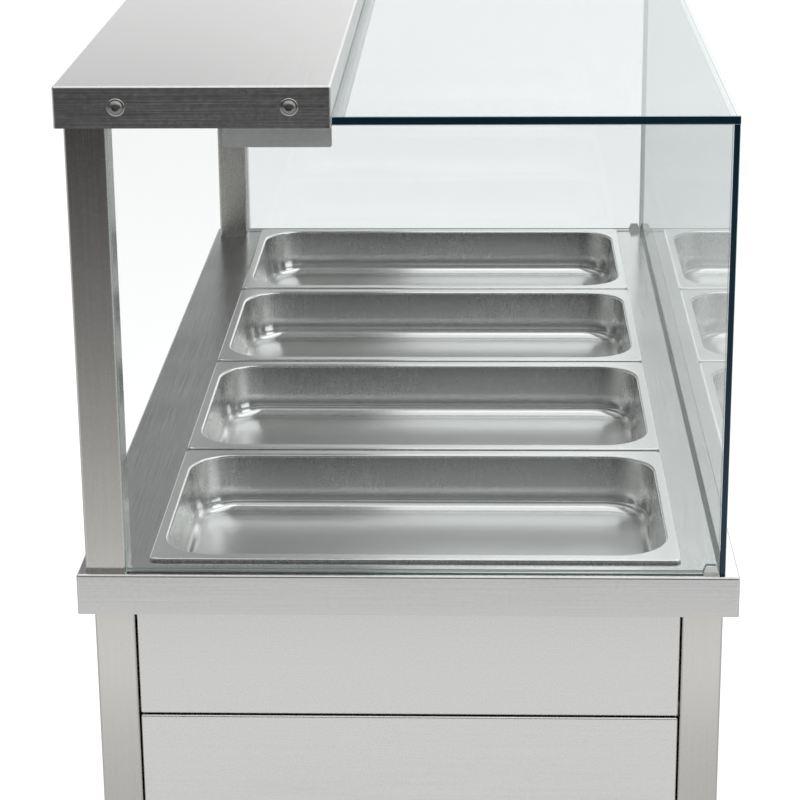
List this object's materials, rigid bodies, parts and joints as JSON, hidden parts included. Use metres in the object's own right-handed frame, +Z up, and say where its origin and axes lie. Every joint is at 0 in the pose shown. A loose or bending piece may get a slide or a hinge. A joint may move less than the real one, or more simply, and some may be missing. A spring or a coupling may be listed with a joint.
{
  "type": "hot food display counter",
  "caption": "Free-standing hot food display counter with pans in a heated well, a glass case, an overhead shelf with a lamp trough, and a cupboard with sliding doors.",
  "frame": {"origin": "centre of the footprint at floor level", "axes": "+Z up; +Y along the counter from the near end to the far end; +X from the open operator side to the glazed customer side"},
  "size_m": [0.653, 1.375, 1.336],
  "materials": {
    "brushed_steel": "directional brushed stainless sheet",
    "pan_steel": "satin pressed stainless",
    "foot_steel": "polished stainless",
    "bolt_steel": "bright stainless",
    "reflector": "bright rolled aluminium",
    "glass": "clear toughened glass with green edges",
    "quartz": "clear quartz tube",
    "ceramic": "unglazed steatite",
    "black_plastic": "moulded, satin",
    "rocker_plastic": "moulded, gloss",
    "control_case": "moulded, matt",
    "pilot_lens": "amber lens",
    "nylon": "moulded nylon",
    "element_sheath": "oxidised alloy sheath",
    "brass": "machined",
    "valve_metal": "plated",
    "valve_handle": "dipped coating"
  },
  "bodies": {
    "root": {"base_shelf": "brushed_steel", "cable_gland": "black_plastic", "control_panel": "brushed_steel", "customer_panel_lower": "brushed_steel", "customer_panel_upper": "brushed_steel", "door_tracks": "brushed_steel", "drain_pipe": "brushed_steel", "drain_valve": "valve_metal", "element_glands": "brass", "far_panel_lower": "brushed_steel", "far_panel_upper": "brushed_steel", "glass_clips": "brushed_steel", "glass_far": "glass", "glass_near": "glass", "glass_side": "glass", "glass_top": "glass", "heating_elements": "element_sheath", "lamp_guard": "bolt_steel", "lamp_holders": "ceramic", "lamp_reflector": "reflector", "lamp_trough": "brushed_steel", "leg_far_customer": "brushed_steel", "leg_far_operator": "brushed_steel", "leg_inserts": "black_plastic", "leg_near_customer": "brushed_steel", "leg_near_operator": "brushed_steel", "mid_rails": "brushed_steel", "near_panel_lower": "brushed_steel", "near_panel_upper": "brushed_steel", "overhead_shelf": "brushed_steel", "pan_bars": "brushed_steel", "pilot_lamps": "pilot_lens", "post_far": "brushed_steel", "post_near": "brushed_steel", "quartz_lamps": "quartz", "shelf_arms": "brushed_steel", "shelf_bolts": "bolt_steel", "shelf_nuts": "bolt_steel", "switch_cases": "black_plastic", "thermostats": "control_case", "trough_ends": "brushed_steel", "well_tank": "brushed_steel", "worktop": "brushed_steel"},
    "pan_1": {"pan_1": "pan_steel"},
    "pan_2": {"pan_2": "pan_steel"},
    "pan_3": {"pan_3": "pan_steel"},
    "pan_4": {"pan_4": "pan_steel"},
    "foot_near_operator": {"foot_near_operator": "foot_steel"},
    "foot_near_customer": {"foot_near_customer": "foot_steel"},
    "foot_far_operator": {"foot_far_operator": "foot_steel"},
    "foot_far_customer": {"foot_far_customer": "foot_steel"},
    "valve_lever": {"valve_lever": "valve_handle"},
    "knob_well": {"knob_well": "black_plastic"},
    "knob_lamp": {"knob_lamp": "black_plastic"},
    "rocker_power": {"rocker_power": "rocker_plastic"},
    "rocker_light": {"rocker_light": "rocker_plastic"},
    "door_near": {"door_near": "brushed_steel", "door_near_glides": "nylon"},
    "door_far": {"door_far": "brushed_steel", "door_far_glides": "nylon"}
  },
  "joints": [
    {"name": "pan_1_lift", "type": "slide", "parent": "root", "child": "pan_1", "axis": [0, 0, 1], "range_m": [0, 0.12]},
    {"name": "pan_2_lift", "type": "slide", "parent": "root", "child": "pan_2", "axis": [0, 0, 1], "range_m": [0, 0.12]},
    {"name": "pan_3_lift", "type": "slide", "parent": "root", "child": "pan_3", "axis": [0, 0, 1], "range_m": [0, 0.12]},
    {"name": "pan_4_lift", "type": "slide", "parent": "root", "child": "pan_4", "axis": [0, 0, 1], "range_m": [0, 0.12]},
    {"name": "foot_near_operator_screw", "type": "slide", "parent": "root", "child": "foot_near_operator", "axis": [0, 0, -1], "range_m": [0, 0.02]},
    {"name": "foot_near_customer_screw", "type": "slide", "parent": "root", "child": "foot_near_customer", "axis": [0, 0, -1], "range_m": [0, 0.02]},
    {"name": "foot_far_operator_screw", "type": "slide", "parent": "root", "child": "foot_far_operator", "axis": [0, 0, -1], "range_m": [0, 0.02]},
    {"name": "foot_far_customer_screw", "type": "slide", "parent": "root", "child": "foot_far_customer", "axis": [0, 0, -1], "range_m": [0, 0.02]},
    {"name": "knob_well_turn", "type": "hinge", "parent": "root", "child": "knob_well", "pos_m": [-0.3045, -0.4135, 0.769], "axis": [1, 0, 0], "range_deg": [0, 270]},
    {"name": "knob_lamp_turn", "type": "hinge", "parent": "root", "child": "knob_lamp", "pos_m": [-0.3045, -0.3515, 0.769], "axis": [1, 0, 0], "range_deg": [0, 270]},
    {"name": "rocker_power_rock", "type": "hinge", "parent": "root", "child": "rocker_power", "pos_m": [-0.3045, -0.5375, 0.769], "axis": [0, 1, 0], "range_deg": [0, 19]},
    {"name": "rocker_light_rock", "type": "hinge", "parent": "root", "child": "rocker_light", "pos_m": [-0.3045, -0.2275, 0.769], "axis": [0, 1, 0], "range_deg": [0, 19]},
    {"name": "valve_lever_turn", "type": "hinge", "parent": "root", "child": "valve_lever", "pos_m": [-0.1965, 0.4275, 0.6448], "axis": [-1, 0, 0], "range_deg": [0, 90]},
    {"name": "door_near_slide", "type": "slide", "parent": "root", "child": "door_near", "axis": [0, 1, 0], "range_m": [0, 0.6175]},
    {"name": "door_far_slide", "type": "slide", "parent": "root", "child": "door_far", "axis": [0, -1, 0], "range_m": [0, 0.6175]}
  ]
}
